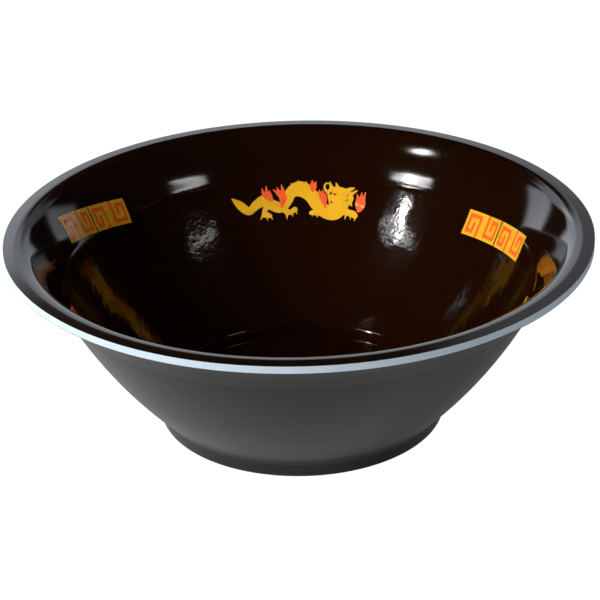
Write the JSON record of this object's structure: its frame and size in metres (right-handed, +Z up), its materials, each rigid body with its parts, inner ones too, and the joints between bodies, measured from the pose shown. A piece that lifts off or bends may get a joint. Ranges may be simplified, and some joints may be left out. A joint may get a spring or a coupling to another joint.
{
  "type": "disposable ramen bowl",
  "caption": "Round disposable noodle bowl of laminated foam sheet, with a flared round-topped lip above a crease, a low foot and gold and red print inside.",
  "frame": {"origin": "on the table, in the middle of the foot", "axes": "+Z up along the bowl's axis, +Y towards the back, +X to the right as in the picture"},
  "size_m": [0.2, 0.2, 0.069],
  "materials": {
    "matt_outer_film": "satin charcoal",
    "white_foam": "fine closed cell foam, cut",
    "gloss_inner_film": "high gloss dark brown",
    "gold_ink": "gloss gold yellow print",
    "red_ink": "gloss orange red print"
  },
  "bodies": {
    "root": {"outer_skin": "matt_outer_film", "foam_core": "white_foam", "inner_film": "gloss_inner_film", "dragon_back": "gold_ink", "dragon_right": "gold_ink", "dragon_left": "gold_ink", "flames_back": "red_ink", "flames_right": "red_ink", "flames_left": "red_ink", "fret_ground_right_1": "gold_ink", "fret_ground_right_2": "gold_ink", "fret_ground_left_1": "gold_ink", "fret_ground_left_2": "gold_ink", "fret_ground_front_1": "gold_ink", "fret_ground_front_2": "gold_ink", "fret_line_right_1": "red_ink", "fret_line_right_2": "red_ink", "fret_line_left_1": "red_ink", "fret_line_left_2": "red_ink", "fret_line_front_1": "red_ink", "fret_line_front_2": "red_ink"}
  },
  "joints": []
}
